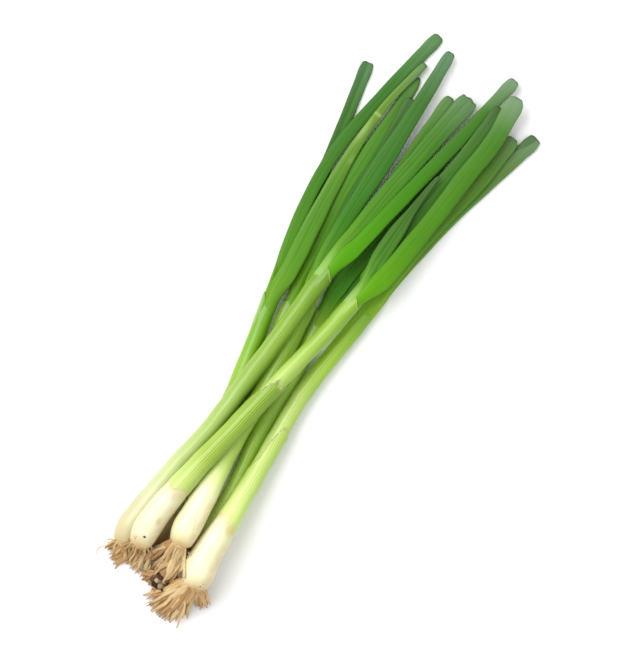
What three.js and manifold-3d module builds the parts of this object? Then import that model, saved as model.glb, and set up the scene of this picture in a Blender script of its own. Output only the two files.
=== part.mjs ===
// A loose bunch of seven spring onions lying on a table, roots to the left and cut leaf ends to the right.
// Millimetres, +X along the bunch from the roots to the leaf ends, +Z up, the table at z = 0.
// Each onion is a stem with its bulb, a tuft of roots on a basal plate, and one solid for each leaf.
import * as THREE from 'three';
import Module from 'manifold-3d';

const wasm = await Module();
wasm.setup();

// Driving dimensions
const AIR_GAP = 0.4;
const STEM_SIDES = 12;
const LEAF_SIDES = 10;
const ROOT_SIDES = 4;
const PLATE_SIDES = 8;
const STEM_STEP = 10;
const LEAF_STEP = 12;
const BULB_PEAK = 12;
const BASE_SHARE = 0.42;
const BASE_RING_SHARES = [0.1, 0.36];
const TAPER_POWER = 1.9;
const STEM_ROUNDNESS = 0.94;
const MOUTH_FLARE = 0.09;
const MOUTH_LENGTH = 14;
const TEAR_SLANT_LENGTH = 20;
const TEAR_STEP_LENGTH = 0.25;
const TEAR_CLEARANCE = 3;
const TEAR_MARGIN = 2;
const LEAST_LEAF_HALF_HEIGHT = 0.8;
const CUT_END_LENGTH = 2.5;
const CUT_END_WIDTH = 0.86;
const CUT_END_HEIGHT = 0.6;
const CUT_SLANT_LENGTH = 8;
const CHANNEL_SHARE = 0.45;
const PLATE_LENGTH = 3;
const PLATE_SHARE = 0.4;
const PLATE_PROFILE = [[0, 1], [0.6, 0.92], [1, 0.5]];
const ROOT_SEED = 5;
const ROOT_RADIUS = 0.8;
const ROOT_TIP_RADIUS = 0.5;
const ROOT_STEPS = 4;
const ROOT_SPACING = 1.2;
const ROOT_TRIES = 40;
const ROOT_LEAST_SHARE = 0.4;
const ROOT_RING_SHARE = 0.75;
const ROOT_SEAT_SHARE = 0.55;
const ROOT_CURL = 0.6;
const ROOT_RISE_SHARE = 0.3;
const ROOT_FALL = 1.5;
const LOWER_BULB_DROP = 2;
const STEM_SAG = 0.0014;
const LEAF_SAG = 0.0016;
const SETTLE_PASSES = 900;
const STEM_STIFF_LENGTH = 16;
const LEAF_STIFF_LENGTH = 10;
const TABLE_SNAP = 0.16;
const CONTACT_DEGREES = Array.from({ length: 11 }, (_, k) => 10 + 8 * k);

const LOOKS = {
  stem: { color: 0xdde8b0, roughness: 0.35, metalness: 0 },
  leaf: { color: 0x5f9a2c, roughness: 0.45, metalness: 0 },
  root: { color: 0xc8a26a, roughness: 0.8, metalness: 0 },
};

// Each onion, in the order in which it is laid down, lowest first.
// route: plan points of the stem from the base of the bulb to the mouth of the sheath.
// bulb, stem: radii. taper: length over which the bulb thins into the stem.
// tears: outer sheaths that end part way up, at a distance from the base, with how much further they
// reach on the left side of the stem, and how thick they are.
// leaves: lowest first, plan points after the mouth, half widths along the leaf, seat to the left in the mouth,
// round: half height over half width at the mouth and at the cut end, groove: depth of the channel on top.
// roots: how many, the middle of their fan (degrees to the left of straight out), its spread, longest.
const ONIONS = [
  {
    name: 'g',
    route: [[-129, 2.5], [-116, 3.5], [-98, 6], [-78, 9.5], [-58, 12.8], [-40, 15.7], [-18, 17.5], [4, 22]],
    bulb: 5.6, stem: 4.3, taper: 20,
    tears: [{ at: 112, left: -3, thick: 0.4 }],
    leaves: [
      { route: [[24, 25], [50, 28], [82, 31], [108, 31.5], [136, 31.3], [152, 31.9]],
        half: [3.9, 3.6, 3.8, 4.6, 4.9, 4, 2.9], seat: 0, round: [0.7, 0.4], groove: 0.2, slant: -1.5 },
    ],
    roots: { count: 4, turn: 0, spread: 35, longest: 12 },
  },
  {
    name: 'f',
    route: [[-157, 14.5], [-140, 14.2], [-118, 15.5], [-91, 17.5], [-62, 20.6], [-36, 25.6], [-5, 32]],
    bulb: 6.4, stem: 4.9, taper: 20,
    tears: [{ at: 128, left: -5, thick: 0.4 }],
    leaves: [
      { route: [[25, 38.5], [47, 42.6], [71, 46.5], [96, 50.8], [121, 55.6], [144, 60.2]],
        half: [3.2, 3.4, 3.5, 3.6, 3.7, 3.7], seat: 1.2, round: [0.42, 0.36], groove: 0.3, slant: -0.5 },
      { route: [[11, 36.6], [39, 43.2], [71, 47.7], [99, 47.8], [129, 43.3], [159, 38], [178.5, 34]],
        half: [3.7, 3.7, 3.7, 3.7, 3.7, 3.7], seat: 1.6, round: [0.42, 0.42], groove: 0.15, slant: -0.5 },
      { route: [[19, 33], [45, 36], [76, 39], [103, 40], [132, 38], [160.5, 32.1]],
        half: [4.4, 5.3, 5.1, 4.3, 3, 2.2, 2.1], seat: -0.8, round: [0.42, 0.6], groove: 0.35, slant: -0.5 },
    ],
    roots: { count: 6, turn: -10, spread: 40, longest: 13 },
  },
  {
    name: 'e',
    route: [[-171, -1], [-158, -2.6], [-138, -5.6], [-119, -8.4], [-102, -7.6], [-84, -5.2], [-63, -2.7],
      [-37, -2.2], [-14, 0.6], [4, 3]],
    bulb: 6.2, stem: 4.2, taper: 18,
    tears: [{ at: 132, left: 3, thick: 0.4 }],
    leaves: [
      { route: [[21, 1], [40, -3.5], [68, -9], [104, -14], [134, -18.5], [152.5, -21.7]],
        half: [3.4, 3.4, 3.4, 3.4, 3.2], seat: -0.6, round: [0.5, 0.4], groove: 0.2, slant: -0.5 },
      { route: [[21, 4.6], [38, 3.6], [55, 1.6], [78, -1], [95, -3.2], [122, -6.5], [147.5, -10.3]],
        half: [3.6, 3.8, 4, 4, 3.7, 3.2], seat: 0.6, round: [0.5, 0.45], groove: 0.25, slant: -0.5 },
    ],
    roots: { count: 7, turn: -4, spread: 45, longest: 8 },
  },
  {
    name: 'd',
    route: [[-162, -20.6], [-148, -16], [-126, -15.3], [-96, -14.5], [-62, -12.5], [-38, -11.5], [-21, -12.5], [22, -17]],
    bulb: 9.1, stem: 5.2, taper: 31,
    tears: [{ at: 98, left: -6, thick: 0.5 }],
    leaves: [
      { route: [[47, -20], [73, -24], [97, -28.5], [121, -34.5], [138, -39], [159.5, -44.4]],
        half: [4, 4.1, 4.1, 4.1, 4.2, 4.2], seat: -0.6, round: [0.42, 0.4], groove: 0.3, slant: 1.5 },
      { route: [[45, -18.5], [70, -21.5], [96, -26], [121, -31], [152.5, -33.2]],
        half: [4.3, 4.1, 4, 4, 4.2], seat: 0.6, round: [0.5, 0.4], groove: 0.15, slant: -0.5 },
    ],
    roots: { count: 15, turn: 22, spread: 50, longest: 28 },
  },
  {
    name: 'c',
    route: [[-146, 0.2], [-138, 2], [-120, 3.2], [-95, 5], [-70, 7], [-45, 8], [-27, 9.7], [-9, 11.8], [13, 15]],
    bulb: 7.7, stem: 4.9, taper: 30,
    tears: [{ at: 120, left: -4, thick: 0.4 }],
    leaves: [
      { route: [[40, 20], [77, 23.5], [105, 25], [127, 27], [139.5, 27.9]],
        half: [3.3, 3.3, 3.4, 3.5, 3.2], seat: 0.8, round: [0.42, 0.4], groove: 0.2, slant: -0.5 },
      { route: [[35, 20], [54, 21.5], [88, 22], [115, 22], [142.5, 22.4], [174, 23.4]],
        half: [3.8, 3.6, 4, 4.7, 4.6, 4.1, 3.2], seat: -0.6, round: [0.45, 0.42], groove: 0.25, slant: -0.5 },
    ],
    roots: { count: 11, turn: 36, spread: 30, longest: 25 },
  },
  {
    name: 'a',
    route: [[-163.5, 28.3], [-154, 29.8], [-139, 29], [-110, 26.6], [-82, 22], [-44, 19.4], [-17, 17.6], [10, 16.2],
      [28, 15.2]],
    bulb: 7.5, stem: 5.3, taper: 32,
    tears: [],
    leaves: [
      { route: [[42, 14.5], [60, 12.5], [85, 11.5], [106, 11], [134, 10.2], [152.5, 9.6]],
        half: [3, 3.2, 3.4, 3.6, 3.4], seat: 1.6, round: [0.4, 0.4], groove: 0.15, slant: 0 },
      { route: [[42, 16.4], [61, 14.2], [78, 11.4], [101, 7.8], [129, 4], [158, -0.4]],
        half: [3.6, 4.8, 5.3, 5.2, 5.5, 5.8], seat: 1.4, round: [0.42, 0.34], groove: 0.3, slant: -0.5 },
      { route: [[34, 12.2], [42, 10], [57, 7], [73, 4.2], [106, -2.2], [138, -8.4], [161, -12.6], [180.5, -16.1]],
        half: [4.6, 4.3, 4.1, 4.1, 3.9, 3.7, 3.6], seat: -1.4, round: [0.5, 0.42], groove: 0, slant: -0.5 },
    ],
    roots: { count: 12, turn: -14, spread: 38, longest: 16 },
  },
  {
    name: 'b',
    route: [[-158.5, 19.4], [-149, 21], [-134, 20.5], [-102, 16], [-79, 11.5], [-57, 7.5], [-26, 1.5], [1, -4], [23, -7]],
    bulb: 7.3, stem: 4.9, taper: 34,
    tears: [{ at: 117, left: -8, thick: 1 }],
    leaves: [
      { route: [[44, -7.5], [62, -9], [80, -10], [114, -14], [133, -16], [162.5, -17.7]],
        half: [3.5, 3.7, 4, 4.1, 4.1, 3.8], seat: 0.6, round: [0.42, 0.4], groove: 0.2, slant: -0.5 },
      { route: [[32, -5], [46, -3.8], [63, -4], [83, -5.4], [110.5, -8.8]],
        half: [3.3, 3.5, 3.5, 3, 2, 1.1], seat: 1.8, round: [0.42, 0.42], groove: 0.35, slant: -0.5 },
      { route: [[30, -11.5], [47, -15], [64, -17], [92, -20], [119, -22], [143, -24.5], [172.5, -22.6]],
        half: [4.8, 5.5, 5.3, 5.2, 5.3, 5.3, 5.3, 5.1], seat: -1.4, round: [0.45, 0.38], groove: 0, slant: -0.5 },
    ],
    roots: { count: 9, turn: -12, spread: 36, longest: 16 },
  },
];

// A repeatable random sequence (mulberry32).
function randomFrom(seed) {
  let state = seed >>> 0;
  return () => {
    state = (state + 0x6d2b79f5) >>> 0;
    let mixed = Math.imul(state ^ (state >>> 15), state | 1);
    mixed ^= mixed + Math.imul(mixed ^ (mixed >>> 7), mixed | 61);
    return ((mixed ^ (mixed >>> 14)) >>> 0) / 4294967296;
  };
}

// Value at share t of a list of evenly spaced values, on a smooth curve.
function along(values, t) {
  const curve = new THREE.SplineCurve(values.map((value, k) => new THREE.Vector2(k, value)));
  return curve.getPoint(THREE.MathUtils.clamp(t, 0, 1)).y;
}

// Radius of a stem at a distance from the base of its bulb, without its torn outer sheaths.
function stemRadius(onion, distance) {
  if (distance < BULB_PEAK) {
    const share = (BULB_PEAK - distance) / BULB_PEAK;
    return onion.bulb * (BASE_SHARE + (1 - BASE_SHARE) * Math.sqrt(1 - share * share));
  }
  const fall = Math.exp(-(((distance - BULB_PEAK) / onion.taper) ** TAPER_POWER));
  return onion.stem + (onion.bulb - onion.stem) * fall;
}

// Thickness that the torn outer sheaths add at a distance from the base, where the slant of the torn
// edge is left out, or the most that they add on any side there.
function sheathThickness(onion, distance) {
  return onion.tears.reduce((sum, tear) => sum + (distance < tear.at ? tear.thick : 0), 0);
}

function mostSheathThickness(onion, distance) {
  return onion.tears.reduce((sum, tear) =>
    sum + (distance < tear.at + Math.abs(tear.left) + TEAR_MARGIN ? tear.thick : 0), 0);
}

// Plan points of a route at even steps, each with the half width and half height of the strand there.
function stationsOf(points, step, sizeAt) {
  const path = new THREE.CatmullRomCurve3(
    points.map(([x, y]) => new THREE.Vector3(x, y, 0)), false, 'centripetal');
  const length = path.getLength();
  const count = Math.round(length / step);
  return path.getSpacedPoints(count).map((point, k) => {
    const distance = (k / count) * length;
    const [halfWidth, halfHeight] = sizeAt(distance, length);
    return { x: point.x, y: point.y, z: 0, distance, halfWidth, halfHeight };
  });
}

// The station of a laid strand nearest to a plan point, interpolated, with its distance in plan.
function nearestStation(stations, x, y) {
  let best = { away: Infinity };
  for (let k = 1; k < stations.length; k++) {
    const from = stations[k - 1];
    const to = stations[k];
    const run = (to.x - from.x) ** 2 + (to.y - from.y) ** 2;
    const share = THREE.MathUtils.clamp(
      ((x - from.x) * (to.x - from.x) + (y - from.y) * (to.y - from.y)) / run, 0, 1);
    const at = (key) => from[key] + (to[key] - from[key]) * share;
    const away = Math.hypot(x - at('x'), y - at('y'));
    if (away < best.away) {
      best = { away, z: at('z'), halfWidth: at('halfWidth'), halfHeight: at('halfHeight') };
    }
  }
  return best;
}

// How far the axis of an oval strand stays above the axis of the oval strand that it crosses.
function heightOver(lower, upper) {
  const reach = (turn) =>
    Math.hypot(lower.halfWidth * Math.cos(turn), lower.halfHeight * Math.sin(turn)) +
    Math.hypot(upper.halfWidth * Math.cos(turn), upper.halfHeight * Math.sin(turn)) + AIR_GAP;
  if (lower.away >= reach(0)) return -Infinity;
  let height = Infinity;
  for (const degrees of CONTACT_DEGREES) {
    const turn = THREE.MathUtils.degToRad(degrees);
    height = Math.min(height, (reach(turn) - lower.away * Math.cos(turn)) / Math.sin(turn));
  }
  return height;
}

// Lets a strand down onto the table and onto the strands already laid. A leaf is held at its mouth.
function settle(stations, laid, { sides, sag, stiffLength, heldAt }) {
  const flatSide = Math.cos(Math.PI / sides);
  const last = stations.length - 1;
  const step = stations[1].distance - stations[0].distance;
  const floor = stations.map((station) => laid.reduce((lowest, other) => {
    const under = nearestStation(other, station.x, station.y);
    return Math.max(lowest, under.z + heightOver(under, station));
  }, station.halfHeight * flatSide));
  const held = heldAt !== undefined;
  let z = [...floor];
  if (held) z[0] = heldAt;
  const drop = (sag * step * step) / 2;
  for (let pass = 0; pass < SETTLE_PASSES; pass++) {
    for (let k = 1; k < last; k++) z[k] = Math.max(floor[k], (z[k - 1] + z[k + 1]) / 2 - drop);
    z[last] = Math.max(floor[last], z[last - 1] - drop);
    if (!held) z[0] = Math.max(floor[0], z[1] - drop);
  }
  const bell = (k, j) => Math.exp(-((((k - j) * step) / stiffLength) ** 2));
  const smooth = z.map((value, k) => {
    let sum = 0;
    let weight = 0;
    for (let j = 0; j <= last; j++) {
      sum += bell(k, j) * z[j];
      weight += bell(k, j);
    }
    return sum / weight;
  });
  const short = smooth.map((value, k) => Math.max(0, floor[k] - value));
  z = smooth.map((value, k) => value + Math.max(...short.map((lack, j) => lack * bell(k, j))));
  if (held) z[0] = heldAt;
  stations.forEach((station, k) => {
    station.z = z[k];
  });
}

// A smooth centre line through settled stations, with a frame at any distance along it.
function centreLine(stations, firstTangent) {
  const curve = new THREE.CatmullRomCurve3(
    stations.map(({ x, y, z }) => new THREE.Vector3(x, y, z)), false, 'centripetal');
  const step = stations[1].distance;
  const length = stations[stations.length - 1].distance;
  const frameAt = (distance) => {
    const share = THREE.MathUtils.clamp(distance / length, 0, 1);
    const tangent = firstTangent && distance < step / 2 ? firstTangent : curve.getTangent(share);
    const left = new THREE.Vector3(0, 0, 1).cross(tangent).normalize();
    const over = distance - share * length;
    return {
      point: curve.getPoint(share).addScaledVector(tangent, over),
      tangent,
      left,
      up: tangent.clone().cross(left),
    };
  };
  return { frameAt, length };
}

// A closed skin over rings of points, with a point in the middle of each end.
function skin(rings, firstMiddle, lastMiddle) {
  const sides = rings[0].length;
  const points = [firstMiddle, ...rings.flat(), lastMiddle];
  const index = [];
  const at = (ring, side) => 1 + ring * sides + ((side + sides) % sides);
  for (let side = 0; side < sides; side++) {
    index.push(0, at(0, side + 1), at(0, side));
    for (let ring = 1; ring < rings.length; ring++) {
      index.push(at(ring - 1, side), at(ring - 1, side + 1), at(ring, side + 1));
      index.push(at(ring - 1, side), at(ring, side + 1), at(ring, side));
    }
    index.push(points.length - 1, at(rings.length - 1, side), at(rings.length - 1, side + 1));
  }
  const positions = new Float32Array(points.flatMap(({ x, y, z }) => [x, y, z < TABLE_SNAP ? 0 : z]));
  return new THREE.BufferGeometry()
    .setAttribute('position', new THREE.BufferAttribute(positions, 3))
    .setIndex(index);
}

// Angles round a section, with one flat side underneath.
function turnsOf(sides) {
  return Array.from({ length: sides }, (_, side) => -Math.PI / 2 + ((side + 0.5) * 2 * Math.PI) / sides);
}

// The bulb and the leaf sheaths above it, with the steps where outer sheaths are torn off.
function stemGeometry(onion, line) {
  const distances = [];
  const count = Math.round(line.length / STEM_STEP);
  for (let k = 0; k <= count; k++) distances.push((k / count) * line.length);
  distances.push(...BASE_RING_SHARES.map((share) => share * BULB_PEAK));
  const edges = onion.tears.flatMap((tear) => [tear.at - TEAR_STEP_LENGTH, tear.at]);
  const free = distances.filter((distance) =>
    !onion.tears.some((tear) => Math.abs(distance - tear.at) < TEAR_CLEARANCE));
  const rings = [...free, ...edges].sort((one, other) => one - other).map((distance) => {
    const mouth = Math.exp(-(((line.length - distance) / MOUTH_LENGTH) ** 2));
    const radius = stemRadius(onion, distance) + sheathThickness(onion, distance);
    return turnsOf(STEM_SIDES).map((turn) => {
      const across = Math.cos(turn);
      const whole = Math.min(1, (line.length - distance) / MOUTH_LENGTH);
      const slide = onion.tears.reduce((sum, tear) => sum +
        tear.left * across * whole * Math.exp(-(((distance - tear.at) / TEAR_SLANT_LENGTH) ** 2)), 0);
      const { point, left, up } = line.frameAt(distance + slide);
      return point.clone()
        .addScaledVector(left, radius * (1 + MOUTH_FLARE * mouth) * across)
        .addScaledVector(up, radius * STEM_ROUNDNESS * (1 - MOUTH_FLARE * mouth) * Math.sin(turn));
    });
  });
  return skin(rings, line.frameAt(0).point, line.frameAt(line.length).point);
}

// One leaf blade: a flattened tube, channelled on top, cut across and pinched flat at its end.
function leafGeometry(leaf, line) {
  const rings = [];
  const count = Math.round(line.length / LEAF_STEP);
  const distances = Array.from({ length: count }, (_, k) => (k / count) * (line.length - CUT_END_LENGTH));
  distances.push(line.length - CUT_END_LENGTH, line.length);
  for (const distance of distances) {
    const [halfWidth, halfHeight] = leafSize(leaf, distance, line.length);
    const isEnd = distance === line.length;
    const nearEnd = Math.exp(-(((line.length - distance) / CUT_SLANT_LENGTH) ** 2));
    rings.push(turnsOf(LEAF_SIDES).map((turn) => {
      const across = Math.cos(turn);
      const top = Math.max(0, Math.sin(turn));
      const channel = 1 - leaf.groove * top * Math.exp(-((across / CHANNEL_SHARE) ** 2));
      const { point, left, up } = line.frameAt(distance + leaf.slant * across * nearEnd);
      return point.clone()
        .addScaledVector(left, halfWidth * across * (isEnd ? CUT_END_WIDTH : 1))
        .addScaledVector(up, halfHeight * Math.sin(turn) * channel * (isEnd ? CUT_END_HEIGHT : 1));
    }));
  }
  return skin(rings, line.frameAt(0).point, line.frameAt(line.length).point);
}

// Half width and half height of a leaf at a distance from its mouth.
function leafSize(leaf, distance, length) {
  const share = distance / length;
  const halfWidth = along(leaf.half, share);
  const roundness = THREE.MathUtils.lerp(leaf.round[0], leaf.round[1], share);
  return [halfWidth, Math.max(LEAST_LEAF_HALF_HEIGHT, halfWidth * roundness)];
}

// A closed mesh as a solid that can be joined to others.
function solidOf(geometry) {
  return new wasm.Manifold(new wasm.Mesh({
    numProp: 3,
    vertProperties: geometry.getAttribute('position').array,
    triVerts: new Uint32Array(geometry.index.array),
  }));
}

// A joined solid as a geometry again.
function geometryOf(solid) {
  const mesh = solid.getMesh();
  return new THREE.BufferGeometry()
    .setAttribute('position', new THREE.BufferAttribute(mesh.vertProperties, 3))
    .setIndex(new THREE.BufferAttribute(mesh.triVerts, 1));
}

// The centre points of one root: out of the plate, falling to the table or onto lower bulbs.
// The roots on the left of the fan are the longest.
function rootPoints(onion, base, placed, random) {
  const { turn, spread, longest } = onion.roots;
  const side = random();
  const heading = THREE.MathUtils.degToRad(turn + spread * (2 * side - 1));
  const length = longest * THREE.MathUtils.lerp(ROOT_LEAST_SHARE, 1, (side + random()) / 2);
  const ring = onion.bulb * PLATE_SHARE * ROOT_RING_SHARE;
  const aside = ring * (2 * random() - 1);
  const raised = Math.sqrt(ring * ring - aside * aside) * (2 * random() - 1);
  const curl = ROOT_CURL * (2 * random() - 1);
  const endHeight = ROOT_RADIUS + ROOT_RISE_SHARE * length * random() * random();
  const start = base.point.clone()
    .addScaledVector(base.tangent, -PLATE_LENGTH * ROOT_SEAT_SHARE)
    .addScaledVector(base.left, aside)
    .addScaledVector(base.up, raised);
  const points = [];
  for (let k = 0; k <= ROOT_STEPS; k++) {
    const share = k / ROOT_STEPS;
    const way = heading + curl * share * share;
    const flat = new THREE.Vector3(-base.tangent.x, -base.tangent.y, 0).normalize()
      .applyAxisAngle(new THREE.Vector3(0, 0, 1), -way);
    const point = start.clone().addScaledVector(flat, length * share);
    const fall = share * share * (3 - 2 * share);
    point.z = Math.max(ROOT_RADIUS, THREE.MathUtils.lerp(start.z, endHeight, Math.min(1, ROOT_FALL * fall)));
    for (const other of placed) {
      const near = nearestStation(other.stem, point.x, point.y);
      const clear = near.halfWidth + ROOT_RADIUS + 2 * AIR_GAP;
      const isLower = other.onion !== onion && near.z < start.z - LOWER_BULB_DROP;
      if (k === 0 || !isLower || near.away > clear) continue;
      point.z = Math.max(point.z, near.z + Math.sqrt(clear * clear - near.away * near.away));
    }
    points.push(point);
  }
  return points;
}

// True if a root stays clear of every bulb, stem and basal plate, and of the roots already there,
// which it may only touch close to its own plate.
function isClear(points, onion, placed, otherRoots, ownRoots) {
  const room = ROOT_RADIUS + AIR_GAP;
  const between = points.slice(1).map((point, k) => point.clone().lerp(points[k], 0.5));
  const isApart = (point, roots, spacing) =>
    roots.every((root) => root.every((other) => other.distanceTo(point) > 2 * ROOT_RADIUS + spacing));
  const isFree = (point) => placed.every((other) => {
    const base = other.stemLine.frameAt(0);
    const past = base.point.clone().sub(point).dot(base.tangent);
    if (past > room) {
      const plate = base.point.clone().addScaledVector(base.tangent, -PLATE_LENGTH / 2);
      return other.onion === onion || plate.distanceTo(point) > other.onion.bulb * PLATE_SHARE + room;
    }
    const near = nearestStation(other.stem, point.x, point.y);
    return Math.hypot(near.away, point.z - near.z) > near.halfWidth + room;
  });
  return [...points.slice(1), ...between.slice(1)].every(isFree) &&
    [...points, ...between].every((point) => isApart(point, otherRoots, ROOT_SPACING)) &&
    points.slice(ROOT_STEPS / 2).every((point) => isApart(point, ownRoots, 0));
}

// A square-sided tapering tube along one root.
function rootGeometry(points) {
  const rings = points.map((point, k) => {
    const before = points[Math.max(0, k - 1)];
    const after = points[Math.min(ROOT_STEPS, k + 1)];
    const tangent = after.clone().sub(before).normalize();
    const left = new THREE.Vector3(0, 0, 1).cross(tangent).normalize();
    const up = tangent.clone().cross(left);
    const radius = THREE.MathUtils.lerp(ROOT_RADIUS, ROOT_TIP_RADIUS, k / ROOT_STEPS);
    return turnsOf(ROOT_SIDES).map((turn) => point.clone()
      .addScaledVector(left, radius * Math.cos(turn))
      .addScaledVector(up, radius * Math.sin(turn)));
  });
  return skin(rings, points[0], points[ROOT_STEPS]);
}

// The short rounded plate under a bulb that its roots grow from.
function plateGeometry(onion, base) {
  const rings = PLATE_PROFILE.map(([depth, width]) => turnsOf(PLATE_SIDES).map((turn) => base.point.clone()
    .addScaledVector(base.tangent, -AIR_GAP - depth * PLATE_LENGTH)
    .addScaledVector(base.left, onion.bulb * PLATE_SHARE * width * Math.cos(turn))
    .addScaledVector(base.up, -onion.bulb * PLATE_SHARE * width * Math.sin(turn))));
  const middle = (depth) => base.point.clone()
    .addScaledVector(base.tangent, -AIR_GAP - depth * PLATE_LENGTH);
  return skin(rings, middle(0), middle(1));
}

// The plate with its roots, joined into one solid.
function rootTuft(onion, base, placed, otherRoots, random) {
  const roots = [];
  for (let attempt = 0; attempt < ROOT_TRIES * onion.roots.count; attempt++) {
    if (roots.length === onion.roots.count) break;
    const points = rootPoints(onion, base, placed, random);
    if (isClear(points, onion, placed, otherRoots, roots)) roots.push(points);
  }
  let solid = solidOf(plateGeometry(onion, base));
  for (const points of roots) solid = solid.add(solidOf(rootGeometry(points)));
  return { roots, geometry: geometryOf(solid) };
}

function named(name, geometry, look) {
  const mesh = new THREE.Mesh(geometry, new THREE.MeshStandardMaterial(LOOKS[look]));
  mesh.name = name;
  return mesh;
}

// Lays one onion's stem on what is there, then its leaves from its mouth.
function layOnion(onion, laid) {
  const stem = stationsOf(onion.route, STEM_STEP, (distance) => {
    const radius = stemRadius(onion, Math.max(distance, BULB_PEAK)) + mostSheathThickness(onion, distance);
    return [radius, radius * STEM_ROUNDNESS];
  });
  settle(stem, laid, { sides: STEM_SIDES, sag: STEM_SAG, stiffLength: STEM_STIFF_LENGTH });
  const stemLine = centreLine(stem);
  const mouth = stemLine.frameAt(stemLine.length);
  const halfHeights = onion.leaves.map((leaf) => leaf.half[0] * leaf.round[0]);
  const stack = halfHeights.reduce((sum, half) => sum + 2 * half + AIR_GAP, -AIR_GAP);
  let rise = -stack / 2;
  const siblings = [];
  const leaves = onion.leaves.map((leaf, k) => {
    const seat = mouth.point.clone()
      .addScaledVector(mouth.tangent, AIR_GAP)
      .addScaledVector(mouth.left, leaf.seat)
      .addScaledVector(mouth.up, rise + halfHeights[k]);
    rise += 2 * halfHeights[k] + AIR_GAP;
    const stations = stationsOf([[seat.x, seat.y], ...leaf.route], LEAF_STEP,
      (distance, length) => leafSize(leaf, distance, length));
    settle(stations, [...laid, ...siblings],
      { sides: LEAF_SIDES, sag: LEAF_SAG, stiffLength: LEAF_STIFF_LENGTH, heldAt: seat.z });
    siblings.push(stations);
    return { leaf, line: centreLine(stations, mouth.tangent) };
  });
  laid.push(stem, ...siblings);
  return { onion, stem, stemLine, leaves };
}

const laid = [];
const placed = ONIONS.map((onion) => layOnion(onion, laid));
const bunch = new THREE.Group();
const tufts = [];
const random = randomFrom(ROOT_SEED);
for (const { onion, stemLine, leaves } of placed) {
  const group = new THREE.Group();
  const base = stemLine.frameAt(0);
  const tuft = rootTuft(onion, base, placed, tufts.flat(), random);
  tufts.push(tuft.roots);
  group.add(named(`onion_${onion.name}_stem`, stemGeometry(onion, stemLine), 'stem'));
  group.add(named(`onion_${onion.name}_roots`, tuft.geometry, 'root'));
  leaves.forEach(({ leaf, line }, k) => {
    group.add(named(`onion_${onion.name}_leaf_${k + 1}`, leafGeometry(leaf, line), 'leaf'));
  });
  group.children.forEach((mesh) => mesh.geometry.translate(-base.point.x, -base.point.y, 0));
  group.position.set(base.point.x, base.point.y, 0);
  bunch.add(group);
}

// The origin is at the middle of the bunch, on the table.
const box = new THREE.Box3().setFromObject(bunch);
const middle = box.getCenter(new THREE.Vector3());
bunch.position.set(-middle.x, -middle.y, 0);

export default bunch;
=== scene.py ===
import math
import bmesh
import bpy
import numpy as np
from mathutils import Matrix, Vector


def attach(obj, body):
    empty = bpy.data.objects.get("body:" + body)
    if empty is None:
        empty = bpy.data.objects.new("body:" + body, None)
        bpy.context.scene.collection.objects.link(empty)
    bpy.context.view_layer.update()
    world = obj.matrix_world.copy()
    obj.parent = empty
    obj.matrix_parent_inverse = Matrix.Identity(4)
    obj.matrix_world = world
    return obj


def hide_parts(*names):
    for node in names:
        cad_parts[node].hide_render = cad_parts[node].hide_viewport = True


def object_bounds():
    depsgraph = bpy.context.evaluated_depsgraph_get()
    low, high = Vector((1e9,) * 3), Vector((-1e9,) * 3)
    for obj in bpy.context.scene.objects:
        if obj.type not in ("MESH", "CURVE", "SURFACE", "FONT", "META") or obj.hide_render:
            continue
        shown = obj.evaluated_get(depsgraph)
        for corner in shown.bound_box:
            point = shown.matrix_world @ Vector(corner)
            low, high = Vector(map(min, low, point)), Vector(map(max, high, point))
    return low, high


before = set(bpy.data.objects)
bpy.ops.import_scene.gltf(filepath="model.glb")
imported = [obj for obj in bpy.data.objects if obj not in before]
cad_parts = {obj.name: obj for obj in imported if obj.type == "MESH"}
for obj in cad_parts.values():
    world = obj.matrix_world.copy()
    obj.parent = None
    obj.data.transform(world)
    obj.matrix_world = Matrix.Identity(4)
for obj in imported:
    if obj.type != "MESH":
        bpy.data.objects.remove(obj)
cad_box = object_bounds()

MM = 0.001

# Meshes
WELD = 0.004 * MM
CAD_STEM_SIDES = 12
CAD_LEAF_SIDES = 10
CAD_RING_GAP = 0.5 * MM
TANGENT_STEP = 0.5 * MM
STEM_SIDES = 72
STEM_RING = 0.7 * MM
LEAF_SIDES = 56
LEAF_RING = 1.1 * MM
TABLE_GAP = 0.02 * MM
AROUND_RADIUS = 5.5

# Stems. Mouth walls are depths in mm with the share of a wall that the inside lies in from the skin there.
BULB_RINGS = (0, 0.25, 0.55, 0.9, 1.3, 1.8, 2.4, 3.1, 3.9, 4.8)
EVEN_RINGS_FROM = 5.5 * MM
BULB_MM = 44
BULB_FADE_MM = 20
WALL = 0.45 * MM
MOUTH_WALLS = ((0.12, 0.6), (0.7, 0.9), (3, 1.1), (6, 1.2), (9, 1.2))
RIM_REACH = 24 * MM
EDGE_SOFTNESS = 0.3 * MM
TEAR_CLEARANCE = 2 * MM
TEAR_LIFT = 0.25 * MM
TEAR_LIFT_LENGTH = 3 * MM
WARP_LENGTH = 14 * MM
SWELL = 0.12 * MM
SWELL_WAVES = (31, 17)
SWELL_FROM = 20 * MM

# Leaves. Cut end rings are the share of the outline that is left and the depth in mm.
LEAF_SEAT_DEPTH = 9 * MM
LEAF_FLATNESS = 0.8
SQUARENESS = 0.74
LEAF_SWAY = 0.025
LEAF_END_REACH = 7 * MM
END_NARROWING = 0.04
END_FLATTENING = 0.4
END_RAGGEDNESS = 0.15
CUT_END_RINGS = ((0.9, 0.1), (0.72, 0.35), (0.4, 0.5))
SOCKET_LENGTH = 22 * MM
MOUTH_PLAY = 1.4 * WALL
RIM_PLAY = 0.5 * MM
FREE_LENGTH = 8 * MM
DIVE_START = 12 * MM
DIVE_LENGTH = 14 * MM
DIVE = 0.9
FORK_DIVE = [(-1, 0), (-0.2, 0), (0.15, DIVE), (1, DIVE)]

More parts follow.
